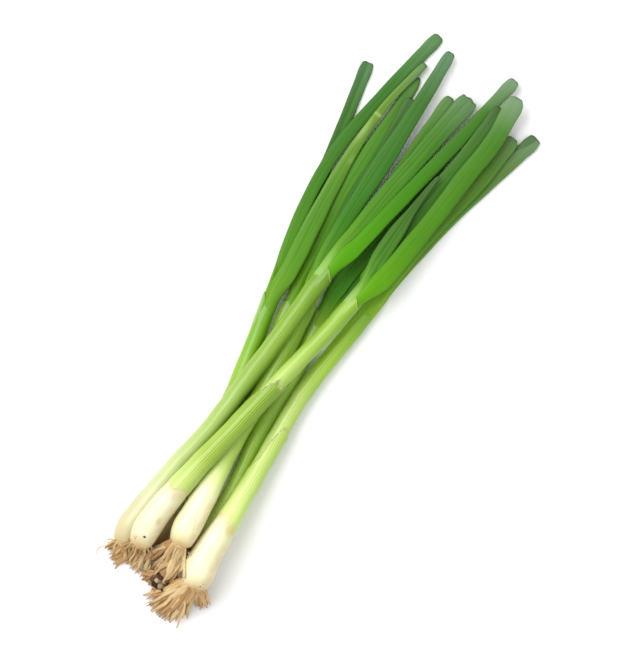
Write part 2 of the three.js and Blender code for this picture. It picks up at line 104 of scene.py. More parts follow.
# Roots. Plate rings are depths in mm and shares of the plate's radius.
ROOT_SEED = 40
ROOT_SIDES = 8
ROOT_RINGS = 22
BULB_RADIUS_AT = 9 * MM
PLATE_SHARE = 0.4
PLATE_RINGS = ((-0.8, 0.9), (0.2, 1), (0.7, 0.95), (1.2, 0.8), (1.6, 0.5))
PLATE_LENGTH = 4 * MM
ROOT_ZONE = 0.75
LOWEST_END_MM = 0.6
END_RANGE_MM = 5
THIN_ROOT = 0.45 * MM
LEAST_HALF_HEIGHT = 0.16 * MM
SUPPORT_LENGTH = 60 * MM
SUPPORT_GAP = 0.6 * MM
LUMP_SIDES = 10
LUMP_LEVELS = 6
LUMP_ZONE = 5.5 * MM
LUMP_RISE = 5 * MM

# View and light
PIXEL = 0.57 * MM
PICTURE_ROWS = 650
VIEW_HEIGHT = PICTURE_ROWS * PIXEL
VIEW_CENTRE = Vector((3.49 * MM, -2.24 * MM, 12 * MM))
IMAGE_RIGHT = Vector((0.5446, -0.8387, 0))
IMAGE_UP = Vector((0.8387, 0.5446, 0))
CAMERA_DISTANCE = 2.5
SENSOR = 36
FAR_LIMIT = 20
FLOOR_SIZE = 12
FLOOR_SHADE = 0.93
WORLD_LIGHT = 0.95
KEY_DIRECTION = IMAGE_UP * 0.55 - IMAGE_RIGHT * 0.6 + Vector((0, 0, 1.25))
KEY_POWER = 21
KEY_SIZE = 1.2
KEY_DISTANCE = 1.7

# Materials. Colours are from 0 to 255 as they look on screen. Leaf tones multiply a leaf's colour along it.
OPEN_LIGHT = 1.3
NOISE_ROUGHNESS = 0.55
SCATTER_RADII = (1, 0.9, 0.4)
SCATTER_DEPTH = 2.5 * MM
TAN = (214, 186, 128)
BARK = (150, 110, 62)
SPECK = (24, 18, 12)
LEAF_START_TONE = (0.92, 0.98, 0.5, 1)
LEAF_TONE = (0.7, 0.79, 0.52, 1)
LEAF_END_TONE = (0.78, 0.84, 0.7, 1)
ROOT_SHADES = [(0, 168, 118, 70), (0.25, 208, 162, 106), (0.6, 238, 206, 150), (1, 254, 236, 192)]
SOIL_SHADES = [(0, 44, 32, 26), (0.4, 92, 66, 48), (0.85, 156, 122, 88), (0.93, 200, 194, 164),
               (1, 222, 216, 190)]

# Each stem, with distances from the base of the bulb in mm and places across from -1, right, to 1, left.
# stops: its colour at distances. light: how bright the skin is. veins: how strong its streaks are.
# tear: where its torn outer sheath ends in the solid, how thick the sheath is, and its edge as pairs of
# place across and distance. Without an edge it fades out. skin: where the outer skin has come off the bulb
# below, how deep the step is there, and its edge. rim: how far the mouth reaches past the solid's end, as
# pairs of place across and mm. dive: how many mm the rim sinks into the leaves, so that no edge shows there.
# wider: how many mm the half width gains at distances.
# patches: thin or tan places on the skin as (kind, distance, half length, place across, half width,
# strength), with a distance below 0 counted from the mouth. specks: dark dots as (distance, place across,
# radius).
# The tan patches along a bulb's far right edge are partly the skin's own tan and partly painted shade.
STEMS = {
    "a": dict(stops=[(0, 226, 196, 146), (4, 240, 224, 178), (12, 244, 236, 192), (35, 238, 240, 190),
          (51, 230, 244, 174), (86, 192, 222, 122), (120, 162, 200, 76), (157, 154, 196, 60),
          (194, 128, 176, 34)],
        light=0.88, dive=FORK_DIVE, veins=0.3,
        rim=[(-1, -2), (-0.5, 0.6), (-0.1, 3.2), (0.4, 6.5), (1, 8)],
        patches=[("tan", 3, 3, -0.5, 0.3, 0.5), ("tan", 5, 4, 0.5, 0.12, 0.35)]),
    "b": dict(stops=[(0, 226, 196, 146), (3, 246, 232, 192), (8, 255, 252, 216), (32, 255, 254, 220),
          (40, 246, 240, 196), (40.6, 222, 238, 142), (50, 214, 236, 132), (66, 182, 210, 72),
          (100, 152, 190, 44), (116.8, 138, 180, 24), (117.2, 206, 236, 130), (134, 198, 228, 116),
          (151, 178, 215, 92), (187, 158, 202, 84)],
        light=0.96, dive=FORK_DIVE, veins=0.6,
        tear=dict(at=117, thick=1, edge=[(-1, 124), (-0.8, 121), (-0.58, 119.8), (-0.1, 120.4),
          (0.04, 124), (0.2, 121.8), (0.58, 115.2), (0.87, 109.1), (1, 103)]),
        skin=dict(at=40.3, step=0.3, edge=[(-1, 40.8), (-0.5, 41.2), (-0.1, 40), (0.3, 37.3), (1, 40.2)]),
        rim=[(-1, -2), (-0.5, 0.4), (-0.1, 2.8), (0.4, 6.5), (1, 8)],
        patches=[("tan", 18.5, 3.2, -0.52, 0.26, 0.85), ("tan", 36, 4, -0.35, 0.5, 0.4),
          ("tan", 3, 3.5, 0.55, 0.3, 0.5), ("tan", 12, 5, -0.85, 0.2, 0.3)],
        specks=[(6.4, -0.14, 0.72), (3.6, 0.5, 0.3), (4.8, 0.42, 0.25), (4.2, 0.62, 0.22)]),
    "c": dict(stops=[(0, 222, 190, 136), (3, 244, 228, 182), (10, 253, 249, 208), (32, 255, 254, 214),
          (42, 238, 249, 178), (56, 196, 220, 112), (84, 164, 202, 62), (120, 156, 198, 60),
          (166, 154, 196, 70)],
        veins=0.5, light=1.15, tear=dict(at=120, thick=0.4),
        rim=[(-1, 5), (-0.8, 4), (-0.3, 0), (0.3, 0), (1, -1)], wider=[(70, 0), (100, 0.7)],
        patches=[("tan", 11, 4, -0.6, 0.25, 0.4), ("tan", 20, 6, -0.85, 0.2, 0.35),
          ("tan", 3, 2, 0.2, 0.6, 0.3)]),
    "d": dict(stops=[(0, 204, 172, 122), (3, 238, 222, 182), (9, 253, 250, 214), (34, 255, 253, 214),
          (42, 246, 240, 190), (42.6, 236, 247, 160), (52, 232, 247, 160), (84, 210, 232, 136),
          (97.8, 200, 224, 118), (98.2, 214, 236, 142), (117, 206, 230, 130), (136, 188, 222, 98),
          (152, 182, 220, 76), (172, 156, 204, 60), (188, 134, 184, 54)],
        veins=0.55, light=1.12,
        tear=dict(at=98, thick=0.5, edge=[(-1, 101.3), (-0.6, 105), (-0.16, 104.6), (0.17, 97.7),
          (0.38, 91.6), (0.45, 85), (1, 75)]),
        skin=dict(at=42, step=0.25, edge=[(-1, 37.5), (-0.6, 39), (-0.2, 43.4), (0, 41.5), (0.3, 45.6),
          (1, 44.2)]),
        rim=[(-1, 2), (0, 0), (1, 3)],
        patches=[("tan", 39, 4, -0.5, 0.4, 0.6), ("tan", 22, 14, -0.92, 0.16, 0.4),
          ("tan", 4, 4, -0.6, 0.4, 0.5), ("tan", 44, 2.5, 0.1, 0.3, 0.35)],
        specks=[(2.4, -0.35, 0.35), (4, -0.5, 0.22)]),
    "e": dict(stops=[(0, 84, 60, 38), (3, 140, 104, 64), (10, 190, 150, 98), (24, 200, 184, 116),
          (45, 204, 234, 112), (72, 196, 230, 98), (86, 172, 214, 68), (117, 166, 208, 62),
          (158, 186, 224, 90), (176, 150, 194, 72)],
        veins=0.5, light=1.1, tear=dict(at=132, thick=0.4), rim=[(-1, 0), (0, 2), (1, 7)],
        wider=[(80, 0), (110, 1)], patches=[("thin", -2, 8, 0.8, 0.3, 0.5)]),
    "f": dict(stops=[(0, 156, 112, 66), (8, 200, 162, 106), (16, 224, 204, 150), (30, 224, 226, 158),
          (66, 178, 214, 92), (98, 164, 204, 66), (116, 154, 202, 50), (130, 138, 192, 44),
          (155, 122, 178, 36)],
        veins=0.2, light=0.97, tear=dict(at=128, thick=0.4), rim=[(-1, -1), (0.4, 0), (0.7, 5), (1, 8)],
        dive=[(-1, DIVE), (0.55, DIVE), (0.7, 0), (1, 0)], patches=[("thin", -4, 11, 0.9, 0.16, 0.8)]),
    "g": dict(stops=[(0, 226, 200, 148), (15, 246, 240, 200), (40, 198, 218, 118), (90, 172, 209, 92),
          (120, 172, 209, 92), (136, 128, 176, 62)],
        veins=0.5, tear=dict(at=112, thick=0.4),
        rim=[(-1, 0), (-0.5, 6), (-0.2, 12), (0.1, 6), (0.4, 1), (1, 0)], wider=[(60, 0), (90, 1.4)],
        patches=[("thin", 2, 9, -0.2, 0.4, 0.6)]),
}
PLAIN_STEM = dict(tear=None, skin=None, patches=[], specks=[], light=1, dive=[(-1, DIVE), (1, DIVE)],
                  wider=[(0, 0)])
STEMS = {onion: {**PLAIN_STEM, **changes} for onion, changes in STEMS.items()}

# Each leaf. stops: its colour at shares of its length. groove: depth of its channel on top. flutes and
# flute_depth: its ridges. corner and waves: how far the corners and waves of its cut end are cut back, in
# mm. veins and wax: how strong they are. fold: a line on it as pairs of share and place across. To its left
# the leaf is darker by fold_strength, or paler where that is below 0. patches: worn pale places as
# (share, half length, place across, half width, strength). socket: the part of the mouth that the leaf fills
# as it leaves it (middle and half width across, height). shift: how many mm it lies to the left of the
# solid, at distances from its start in mm. wider: how many mm its half width gains in its first half.
LEAVES = {
    "a_leaf_1": dict(stops=[(0, 142, 187, 62), (0.1, 122, 175, 50), (0.4, 100, 160, 44),
          (0.8, 88, 148, 54), (1, 104, 146, 84)],
        corner=2.2, veins=0.6),
    "a_leaf_2": dict(stops=[(0, 168, 206, 146), (0.05, 152, 198, 118), (0.13, 122, 180, 62),
          (0.25, 101, 166, 34), (0.5, 84, 152, 36), (0.75, 72, 138, 38), (1, 98, 141, 92)],
        flutes=3, flute_depth=0.05, corner=1.4, waves=0.8, veins=0.6, wax=0.6,
        socket=(0.32, 0.68, 0.95), shift=[(0, 0), (15, -1.2), (28, -1.9), (44, -0.9), (62, 0)]),
    "a_leaf_3": dict(stops=[(0, 98, 176, 6), (0.2, 92, 170, 12), (0.45, 80, 152, 26), (0.65, 76, 138, 42),
          (0.84, 84, 140, 52), (0.87, 108, 150, 86), (0.94, 122, 157, 112), (1, 142, 172, 142)],
        groove=0, corner=1.5, veins=0.2, wax=0.7, socket=(-0.3, 0.7, 1)),
    "b_leaf_1": dict(stops=[(0, 136, 184, 66), (0.12, 94, 156, 46), (0.35, 70, 132, 38),
          (0.75, 72, 132, 48), (1, 78, 116, 66)],
        flutes=2, flute_depth=0.05, wax=0.1, corner=1.2, wider=1.4),
    "b_leaf_2": dict(stops=[(0, 180, 212, 158), (0.06, 162, 202, 128), (0.14, 126, 184, 76),
          (0.35, 84, 150, 38), (0.7, 64, 118, 34), (1, 48, 92, 24)],
        groove=0.2, flutes=3, flute_depth=0.18, veins=0.7, corner=3, socket=(0.32, 0.68, 0.95),
        shift=[(0, 0), (12, -1.4), (26, -2.5), (52, -1.8), (75, -0.7), (100, 0)], wider=1.3),
    "b_leaf_3": dict(stops=[(0, 112, 178, 12), (0.12, 106, 172, 18), (0.35, 96, 160, 28),
          (0.6, 90, 150, 42), (0.86, 88, 146, 50), (0.9, 112, 154, 88), (1, 142, 172, 140)],
        groove=0, corner=3.4, veins=0.2, wax=0.8, socket=(-0.3, 0.7, 1)),
    "c_leaf_1": dict(stops=[(0, 150, 189, 72), (0.15, 96, 150, 44), (0.45, 64, 126, 36), (1, 62, 112, 46)],
        corner=1, wider=2),
    "c_leaf_2": dict(stops=[(0, 150, 189, 72), (0.1, 110, 170, 52), (0.3, 72, 144, 38),
          (0.55, 68, 134, 48), (0.8, 76, 132, 66), (1, 96, 140, 104)],
        groove=0.08, corner=1.4, veins=0.3, wax=0.9, socket=(0, 1, 0.98), wider=0.8),
    "d_leaf_1": dict(stops=[(0, 150, 198, 70), (0.2, 134, 190, 66), (0.5, 120, 178, 76),
          (0.8, 112, 150, 88), (1, 108, 146, 100)],
        groove=0.2, corner=1, wax=1, fold=[(0, 1.2), (0.86, 1), (0.94, 0.1), (1, -0.2)],
        fold_strength=0.5, socket=(-0.2, 0.8, 0.85)),
    "d_leaf_2": dict(stops=[(0, 150, 198, 66), (0.3, 134, 188, 64), (0.6, 112, 164, 58),
          (0.85, 102, 148, 62), (1, 110, 148, 76)],
        groove=0.1, corner=2.4, socket=(0.1, 0.9, 0.98)),
    "e_leaf_1": dict(stops=[(0, 150, 194, 70), (0.15, 78, 156, 38), (0.6, 68, 140, 40), (1, 66, 118, 44)],
        flutes=2, flute_depth=0.12, socket=(-0.25, 0.75, 0.85), wider=1.2),
    "e_leaf_2": dict(stops=[(0, 150, 194, 70), (0.1, 94, 172, 34), (0.25, 74, 156, 26),
          (0.6, 66, 136, 32), (1, 66, 120, 44)],
        flutes=3, flute_depth=0.1, veins=0.6, socket=(0.1, 0.9, 0.98), wider=1.2),
    "f_leaf_1": dict(stops=[(0, 122, 171, 56), (0.3, 92, 153, 45), (0.75, 71, 130, 56), (1, 78, 132, 72)],
        groove=0.25, corner=0.8, waves=0.3, wax=0.7, fold=[(0, 0.2), (0.5, 0.5), (0.8, 0.1), (1, -0.1)],
        fold_strength=0.3),
    "f_leaf_2": dict(stops=[(0, 122, 171, 56), (0.2, 98, 160, 44), (0.45, 76, 140, 42),
          (0.7, 70, 132, 52), (1, 88, 142, 84)],
        groove=0.08, corner=1.4, veins=0.3, wax=0.7, socket=(0.3, 0.7, 0.85)),
    "f_leaf_3": dict(stops=[(0, 122, 171, 56), (0.2, 106, 168, 48), (0.45, 98, 156, 48),
          (0.62, 118, 164, 60), (0.8, 122, 164, 66), (1, 104, 143, 86)],
        groove=0.14, flutes=2, flute_depth=0.05, corner=0.5, veins=0.45, wax=0.5,
        socket=(-0.1, 0.9, 0.98), fold=[(0, 1.3), (0.3, 0.75), (0.6, 0.3), (0.85, 0.2), (1, 0)],
        fold_strength=-0.35,
        patches=[(0.69, 0.05, 0.35, 0.4, 0.65), (0.76, 0.006, 0.1, 1, 0.9),
          (0.58, 0.02, -0.4, 0.3, 0.3)]),
    "g_leaf_1": dict(stops=[(0, 127, 176, 58), (0.15, 114, 174, 36), (0.5, 96, 162, 44),
          (0.8, 90, 154, 50), (1, 92, 146, 62)],
        flutes=2, flute_depth=0.05, corner=2.6, socket=(0, 1, 0.98), wider=0.8),
}
PLAIN_LEAF = dict(groove=0.12, flutes=0, flute_depth=0, corner=1.8, waves=0, veins=0.4, wax=0.4, fold=None,
                  fold_strength=0, patches=[], socket=None, shift=[(0, 0), (1, 0)], wider=0)
LEAVES = {leaf: {**PLAIN_LEAF, **changes} for leaf, changes in LEAVES.items()}

# Each tuft. tone: darkest and lightest of its roots, 0 to 1. lumps: grains of soil in it. fans: how many
# roots, middle of the fan and its half spread in degrees to the left of straight out, shortest and longest
# in mm, least and most bend on the way in degrees, thinnest and thickest half width in mm.
ROOTS = {
    "a": dict(tone=(0.1, 0.8),
        fans=[(34, 2, 30, 6, 11, -30, 30, 0.5, 1.2), (1, 38, 1, 18, 18, -24, -20, 0.34, 0.36),
          (16, 0, 40, 4, 9, -70, 70, 0.3, 0.6)]),
    "b": dict(tone=(0.05, 0.75),
        fans=[(30, 0, 34, 5, 11, -35, 35, 0.4, 1.1), (1, -4, 1, 17, 17, -8, -4, 0.45, 0.5),
          (1, -25, 1, 9, 9, -10, 0, 0.5, 0.55), (16, 0, 44, 4, 9, -110, 110, 0.3, 0.6)]),
    "c": dict(tone=(0.2, 1),
        fans=[(14, 30, 11, 18, 26, -14, 12, 0.75, 1.35), (14, 12, 9, 18, 26, -10, 18, 0.7, 1.3),
          (9, -4, 8, 19, 27, 2, 26, 0.7, 1.2), (7, -18, 8, 20, 30, 16, 46, 0.8, 1.25),
          (14, -12, 12, 4, 9, -60, 60, 0.45, 0.8)]),
    "d": dict(tone=(0.2, 0.9),
        fans=[(18, 46, 8, 20, 29, -16, 8, 0.8, 1.5), (26, 32, 12, 18, 30, -16, 12, 0.8, 1.5),
          (10, 30, 16, 21, 28, -10, 10, 1.5, 2.2), (16, 14, 10, 14, 24, -16, 16, 0.7, 1.4),
          (1, 8, 1, 30, 30, 4, 6, 0.7, 0.75), (20, -17, 9, 9, 14, -10, 6, 0.9, 1.8)]),
    "e": dict(tone=(0.05, 0.5), lumps=34, fans=[(30, 8, 60, 5, 12, -40, 40, 0.5, 1.3)]),
    "f": dict(tone=(0.2, 0.8),
        fans=[(30, 30, 14, 16, 25, -16, 12, 0.8, 1.5), (26, 2, 24, 12, 20, -25, 25, 0.7, 1.4)]),
    "g": dict(tone=(0.1, 0.6), fans=[(10, 0, 35, 5, 11, -20, 20, 0.5, 1)]),
}


def tint(red, green, blue):
    """A colour given from 0 to 255 as it looks on screen, as Blender's linear one."""
    shares = [value / 255 for value in (red, green, blue)]
    linear = [s / 12.92 if s <= 0.04045 else ((s + 0.055) / 1.055) ** 2.4 for s in shares]
    return (*linear, 1)


def colour(red, green, blue):
    """The surface colour that looks like the given one in the open light on the table."""
    return (*(value / OPEN_LIGHT for value in tint(red, green, blue)[:3]), 1)


def hermite(known, values, at):
    """Values at some distances on a smooth curve through the known ones."""
    slopes = np.gradient(values, known, axis=0)
    k = np.clip(np.searchsorted(known, at) - 1, 0, len(known) - 2)
    width = known[k + 1] - known[k]
    t = np.clip((at - known[k]) / width, 0, 1)
    if values.ndim == 2:
        t = t[..., None]
        width = width[..., None]
    return ((2 * t ** 3 - 3 * t ** 2 + 1) * values[k] + (t ** 3 - 2 * t ** 2 + t) * width * slopes[k]
            + (3 * t ** 2 - 2 * t ** 3) * values[k + 1] + (t ** 3 - t ** 2) * width * slopes[k + 1])


def step_up(value):
    """0 below 0, 1 above 1, and smooth between them."""
    t = np.clip(value, 0, 1)
    return t * t * (3 - 2 * t)


def unit(vectors):
    """Vectors of length 1 in the same directions."""
    return vectors / np.linalg.norm(vectors, axis=-1, keepdims=True)


def rings_of(node):
    """The rings of points round a strand's solid, from the roots' end to the other."""
    mesh = bmesh.new()
    mesh.from_mesh(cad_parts[node].data)
    bmesh.ops.remove_doubles(mesh, verts=mesh.verts, dist=WELD)
    mesh.verts.index_update()
    first = min((v for v in mesh.verts if len(v.link_edges) > 8), key=lambda v: v.co.x)
    seen = {first.index}
    layer = [first]
    rings = []
    while layer:
        beyond = {edge.other_vert(v).index: edge.other_vert(v) for v in layer for edge in v.link_edges}
        layer = [beyond[k] for k in sorted(beyond) if k not in seen]
        seen.update(v.index for v in layer)
        if len(layer) > 1:
            rings.append(np.array([v.co for v in layer]))
    mesh.free()
    return rings


class Strand:
    """The centre line of a strand with its half width and half height, from its CAD solid."""

    def __init__(self, node, sides):
        rings = rings_of(node)
        middles = np.array([ring.mean(axis=0) for ring in rings])
        run = np.r_[0, np.cumsum(np.linalg.norm(np.diff(middles, axis=0), axis=1))]
        kept = [k for k in range(len(run)) if k == len(run) - 1 or run[k + 1] - run[k] > CAD_RING_GAP]
        rings = [rings[k] for k in kept]
        middles = middles[kept]
        self.run = run[kept] - run[kept[0]]
        tangents = unit(np.gradient(middles, self.run, axis=0))
        left = unit(np.cross((0, 0, 1), tangents))
        up = np.cross(tangents, left)
        reach = math.cos(math.pi / sides) if sides == CAD_STEM_SIDES else 1
        rise = math.cos(math.pi / sides)
        self.middles = middles.copy()
        self.widths = np.empty(len(rings))
        self.heights = np.empty(len(rings))
        for k, ring in enumerate(rings):
            aside = (ring - middles[k]) @ left[k]
            over = (ring - middles[k]) @ up[k]
            side_level = (over[aside.argmax()] + over[aside.argmin()]) / 2
            if sides == CAD_STEM_SIDES:
                side_level = (over.max() + over.min()) / 2
            self.middles[k] += left[k] * (aside.max() + aside.min()) / 2 + up[k] * side_level
            self.widths[k] = (aside.max() - aside.min()) / 2 / reach
            self.heights[k] = (side_level - over.min()) / rise
        self.length = self.run[-1]

    def point(self, distance):
        inside = np.clip(distance, 0, self.length)
        ends = np.where(distance[..., None] < 0, self.middles[1] - self.middles[0],
                        self.middles[-1] - self.middles[-2])
        return hermite(self.run, self.middles, inside) + unit(ends) * (distance - inside)[..., None]

    def frames(self, distance):
        """Point, tangent, left and up at each distance."""
        tangent = unit(self.point(distance + TANGENT_STEP) - self.point(distance - TANGENT_STEP))
        left = unit(np.cross((0, 0, 1), tangent))
        return self.point(distance), tangent, left, np.cross(tangent, left)

    def width(self, distance):
        return hermite(self.run, self.widths, np.clip(distance, 0, self.length))

    def height(self, distance):
        return hermite(self.run, self.heights, np.clip(distance, 0, self.length))


def new_piece(name, skin, strand, marks, material):
    """A smooth mesh object that rides on the bunch, with the two attributes that its material reads."""
    points, faces = skin
    inset = np.array((1, 1, 0)) * TABLE_GAP
    points = np.clip(points, np.array(cad_box[0]) + inset, np.array(cad_box[1]) - inset)
    mesh = bpy.data.meshes.new(name)
    mesh.from_pydata(points.tolist(), [], faces)
    mesh.polygons.foreach_set("use_smooth", [True] * len(mesh.polygons))
    for key, values in (("strand", strand), ("marks", marks)):
        layer = mesh.attributes.new(key, "FLOAT_VECTOR", "POINT")
        layer.data.foreach_set("vector", np.ascontiguousarray(values, dtype=np.float32).ravel())
    mesh.materials.append(material)
    mesh.update()
    piece = bpy.data.objects.new(name, mesh)
    bpy.context.scene.collection.objects.link(piece)
    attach(piece, "root")
    return piece


def with_ends(values):
    """Per-ring values as rows, with the values for the points in the middle of both ends."""
    return np.concatenate([values.reshape(-1, 3), [values[0].mean(axis=0)], [values[-1].mean(axis=0)]])


def closed_skin(rings):
    """Points and faces of a closed skin over an array of rings: quads, and a fan to a point at each end."""
    rows, columns, _ = rings.shape
    faces = []
    for row in range(rows - 1):
        for column in range(columns):
            beside = (column + 1) % columns
            here = row * columns
            faces.append((here + column, here + beside, here + columns + beside, here + columns + column))
    last = (rows - 1) * columns
    for column in range(columns):
        beside = (column + 1) % columns
        faces.append((beside, column, rows * columns))
        faces.append((last + column, last + beside, rows * columns + 1))
    return with_ends(rings), faces


def strand_piece(name, rings, turn, distance, share, marks, material):
    """A piece whose material knows the place round the strand, and along it in mm and as a share."""
    around = (turn + math.pi / 2) * AROUND_RADIUS
    coordinates = np.stack([around, distance / MM, np.clip(share, 0, 1)], axis=-1)
    return new_piece(name, closed_skin(rings), with_ends(coordinates), with_ends(marks), material)


def patch(far, across, row):
    """How much of a patch there is at each place, 1 in its middle and 0 outside it."""
    place, length, aside, width, strength = row
    size = ((far - place) / length) ** 2 + ((across - aside) / width) ** 2
    return strength * np.exp(-size ** 1.5)


def section_turns(sides):
    """Angles round a section from its lowest point, anticlockwise seen from the far end."""
    return -math.pi / 2 + np.arange(sides) * 2 * math.pi / sides


def wobble(values, seed, wavelengths):
    """A smooth irregular line of about -1 to 1, the same for the same seed."""
    draw = np.random.default_rng(seed)
    total = np.zeros_like(values)
    for wavelength in wavelengths:
        total = total + np.sin(values * 2 * math.pi / wavelength + draw.uniform(0, 2 * math.pi))
    return total / len(wavelengths)


def profile(pairs, at):
    """Value of a line through pairs of numbers."""
    places, values = zip(*pairs)
    return np.interp(at, places, values)


def inner_sizes(strand, details):
    """Half width and half height of a stem without its torn outer sheath, at its known rings."""
    tear = details["tear"]
    worn = tear["thick"] * MM * (strand.run < tear["at"] * MM - TEAR_CLEARANCE) if tear else 0
    return strand.widths - worn, strand.heights - worn


def ragged_edge(kind, across):
    """Distance at which a torn sheath or skin ends, at each place across the stem."""
    return (profile(kind["edge"], across) + 0.35 * wobble(across, 7, (0.31, 0.17, 0.09))) * MM


def rim_reach(rim, across):
    """How far the rim of the mouth reaches past the end of the solid, at each place across."""
    reach = sum(profile(rim, np.clip(across + shift, -1, 1)) for shift in (-0.1, 0, 0.1)) / 3
    return (reach + 0.12 * wobble(across, 5, (0.5, 0.23))) * MM


def stem_surface(strand, details, distance, turn):
    """Points on a stem's skin at distances and angles, both given for each point."""
    across = np.cos(turn)
    widths, heights = inner_sizes(strand, details)
    inside = np.clip(distance, 0, strand.length)
    half_width = hermite(strand.run, widths, inside)
    half_height = hermite(strand.run, heights, inside)
    added = np.zeros_like(distance)
    tear = details["tear"]
    if tear and "edge" in tear:
        past = distance - ragged_edge(tear, across)
        lifted = TEAR_LIFT * np.exp(-(past / TEAR_LIFT_LENGTH) ** 2)
        added += (tear["thick"] * MM + lifted) * step_up(-past / EDGE_SOFTNESS)
    elif tear:
        added += tear["thick"] * MM * step_up((tear["at"] * MM - distance) / WARP_LENGTH)
    skin = details["skin"]
    if skin:
        added -= skin["step"] * MM * step_up((ragged_edge(skin, across) - distance) / EDGE_SOFTNESS)
    added += SWELL * wobble(distance / MM + 3 * across, 11, SWELL_WAVES) * step_up(distance / SWELL_FROM)
    near_mouth = step_up((distance - strand.length + DIVE_START) / DIVE_LENGTH)
    added -= profile(details["dive"], across) * MM * near_mouth
    half_width = half_width + profile(details["wider"], distance / MM) * MM
    point, _, left, up = strand.frames(distance)
    skin_point = (point + left * ((half_width + added) * across)[..., None]
                  + up * ((half_height + added) * np.sin(turn))[..., None])
    skin_point[..., 2] = np.maximum(skin_point[..., 2], TABLE_GAP)
    return skin_point


def warped(details, distance, across):
    """Distance shifted near a ragged edge so that the colours change right at that edge."""
    moved = distance.copy()
    for kind in (details["tear"], details["skin"]):
        if kind and "edge" in kind:
            edge = ragged_edge(kind, across)
            moved += (kind["at"] * MM - edge) * np.exp(-((distance - edge) / WARP_LENGTH) ** 2)
    return moved


def stem_marks(strand, details, distance, turn):
    """For each point: how tan the skin is, with painted shade in the tan, how thin and pale, and how much
    painted shade darkens its green.
    """
    across = np.cos(turn)
    far = distance / MM
    tan = 0.85 * np.exp(-(far / 4.5) ** 2)
    bulb = step_up((BULB_MM - far) / BULB_FADE_MM)
    # Painted shade: tan on the bulb's sides, strongest on the right, away from the light, and weaker on the
    # left.
    tan = np.maximum(tan, 0.72 * bulb * step_up((-across - 0.1) / 0.9))
    tan = np.maximum(tan, 0.32 * bulb * step_up((across - 0.5) / 0.5))
    thin = np.zeros_like(distance)
    # Painted shade: the green darkens towards the right side, away from the light.
    painted_shade = (1 - bulb) * step_up((-across - 0.05) / 0.9)
    skin = details["skin"]
    if skin:
        past = (distance - ragged_edge(skin, across)) / MM
        uneven = 0.6 + 0.4 * wobble(across, 3, (0.5, 0.2))
        tan = np.maximum(tan, 0.75 * np.exp(-(past / 0.45) ** 2) * uneven)
        tan = np.maximum(tan, np.where(past < 0, 0.28 * np.exp(-(past / 3.5) ** 2), 0))
    tear = details["tear"]
    if tear and "edge" in tear:
        past = (distance - ragged_edge(tear, across)) / MM
        # Painted shade on the inner sheath just past the torn edge, beside the step of the lip.
        painted_shade = np.maximum(painted_shade, np.where(past > 0, 1.2 * np.exp(-(past / 1.3) ** 2), 0))
        # A tan line just below the torn edge: partly the dry edge's own colour, partly a painted shadow
        # under the lip.
        tan = np.maximum(tan, 0.45 * np.exp(-((past + 0.6) / 0.5) ** 2))
    values = {"tan": tan, "thin": thin}
    for kind, place, *rest in details["patches"]:
        centre = place if place >= 0 else strand.length / MM + place
        spot = patch(far, across, (centre, *rest)) * (np.sin(turn) > -0.2)
        values[kind] = np.maximum(values[kind], spot)
    return np.stack([values["tan"], values["thin"], painted_shade], axis=-1)


def stem_piece(name, strand, details, material):
    """The bulb with its sheaths, open at the mouth."""
    count = int((strand.length - EVEN_RINGS_FROM) / STEM_RING)
    along = np.r_[np.array(BULB_RINGS) * MM, np.linspace(EVEN_RINGS_FROM, strand.length, count)]
    turns = section_turns(STEM_SIDES)
    distance, turn = np.meshgrid(along, turns, indexing="ij")
    across = np.cos(turn)
    near_mouth = step_up((distance - strand.length + RIM_REACH) / RIM_REACH)
    distance = distance + near_mouth * rim_reach(details["rim"], across)
    outside = stem_surface(strand, details, distance, turn)
    inner = []
    inner_distance = []
    for depth, wall in MOUTH_WALLS:
        back = distance[-1] - depth * MM
        at = stem_surface(strand, details, back, turns)
        inner.append(at + unit(strand.point(back) - at) * wall * WALL)
        inner_distance.append(back)
    rings = np.concatenate([outside, np.array(inner)])
    distance = np.concatenate([distance, np.array(inner_distance)])
    turn = np.broadcast_to(turns, distance.shape)
    share = warped(details, distance, np.cos(turn)) / strand.length
    marks = stem_marks(strand, details, distance, turn)
    piece = strand_piece(name, rings, turn, distance, share, marks, material)
    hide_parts(name.replace("_skin", "_stem"))


def into_mouth(points, turn, socket, stem, details):
    """Leaf points near the mouth of their sheath, drawn in so that they leave from inside its rim."""
    end = np.array([stem.length])
    point, tangent, left, up = (values[0] for values in stem.frames(end))
    half_width = stem.width(end)[0] - MOUTH_PLAY
    half_height = stem.height(end)[0] - MOUTH_PLAY
    offset = points - point
    along = offset @ tangent
    aside = offset @ left
    over = offset @ up
    if socket:
        middle, half, height = socket
        target = middle + half * np.cos(turn)
        start = rim_reach(details["rim"], target)
        weight = 1 - step_up((along - start) / SOCKET_LENGTH)
        aside = aside + (half_width * target - aside) * weight
        over = over + (half_height * height * np.sin(turn) - over) * weight
    size = np.sqrt((aside / half_width) ** 2 + (over / half_height) ** 2)
    rim = rim_reach(details["rim"], np.clip(aside / half_width, -1, 1))
    free = step_up((along - rim - RIM_PLAY) / FREE_LENGTH)
    held = np.minimum(1, 1 / np.maximum(size, 1e-6))
    factor = held + (1 - held) * free
    return (point + tangent * along[..., None] + left * (aside * factor)[..., None]
            + up * (over * factor)[..., None])


def squared(values):
    """Sine or cosine values of a rounder section as those of one with flatter sides."""
    return np.sign(values) * np.abs(values) ** SQUARENESS


